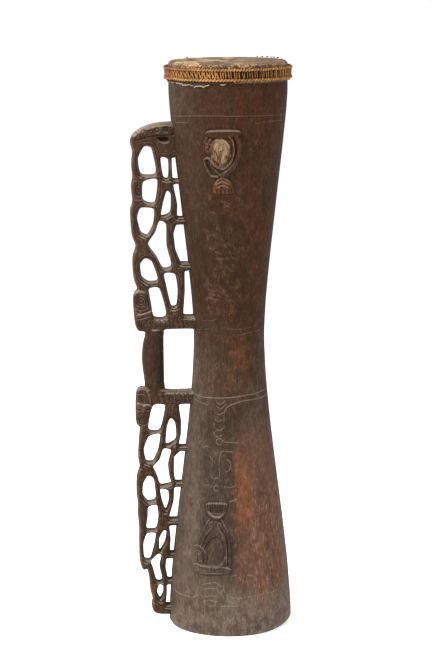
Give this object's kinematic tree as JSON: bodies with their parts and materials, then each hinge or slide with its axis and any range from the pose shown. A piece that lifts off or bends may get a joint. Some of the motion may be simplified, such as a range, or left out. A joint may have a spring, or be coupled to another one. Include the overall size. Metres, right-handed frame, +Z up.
{
  "type": "ceremonial hand drum",
  "caption": "Hourglass hand drum carved from one log, open below, with a skin head held by a plaited cane ring and an openwork side handle.",
  "frame": {"origin": "middle of the part's outer box, at the floor that its foot stands on", "axes": "+Z up along the drum's axis, -Y towards the carved front, -X towards the side handle"},
  "size_m": [0.262, 0.2074, 0.9261],
  "materials": {
    "carved_wood": "old dark smoked hardwood, dry and dusty, adze marks along the grain",
    "dried_skin": "dried scaly skin, matt, creased at the rim",
    "golden_cane": "split cane, slightly glossy, dark in the gaps",
    "tuning_wax": "dark hardened resin"
  },
  "bodies": {
    "root": {"drum_body": "carved_wood", "drum_skin": "dried_skin", "rattan_ring": "golden_cane", "wax_pellet_1": "tuning_wax", "wax_pellet_2": "tuning_wax", "wax_pellet_3": "tuning_wax", "wax_pellet_4": "tuning_wax", "wax_pellet_5": "tuning_wax", "wax_pellet_6": "tuning_wax", "wax_pellet_7": "tuning_wax", "wax_pellet_8": "tuning_wax"}
  },
  "joints": []
}
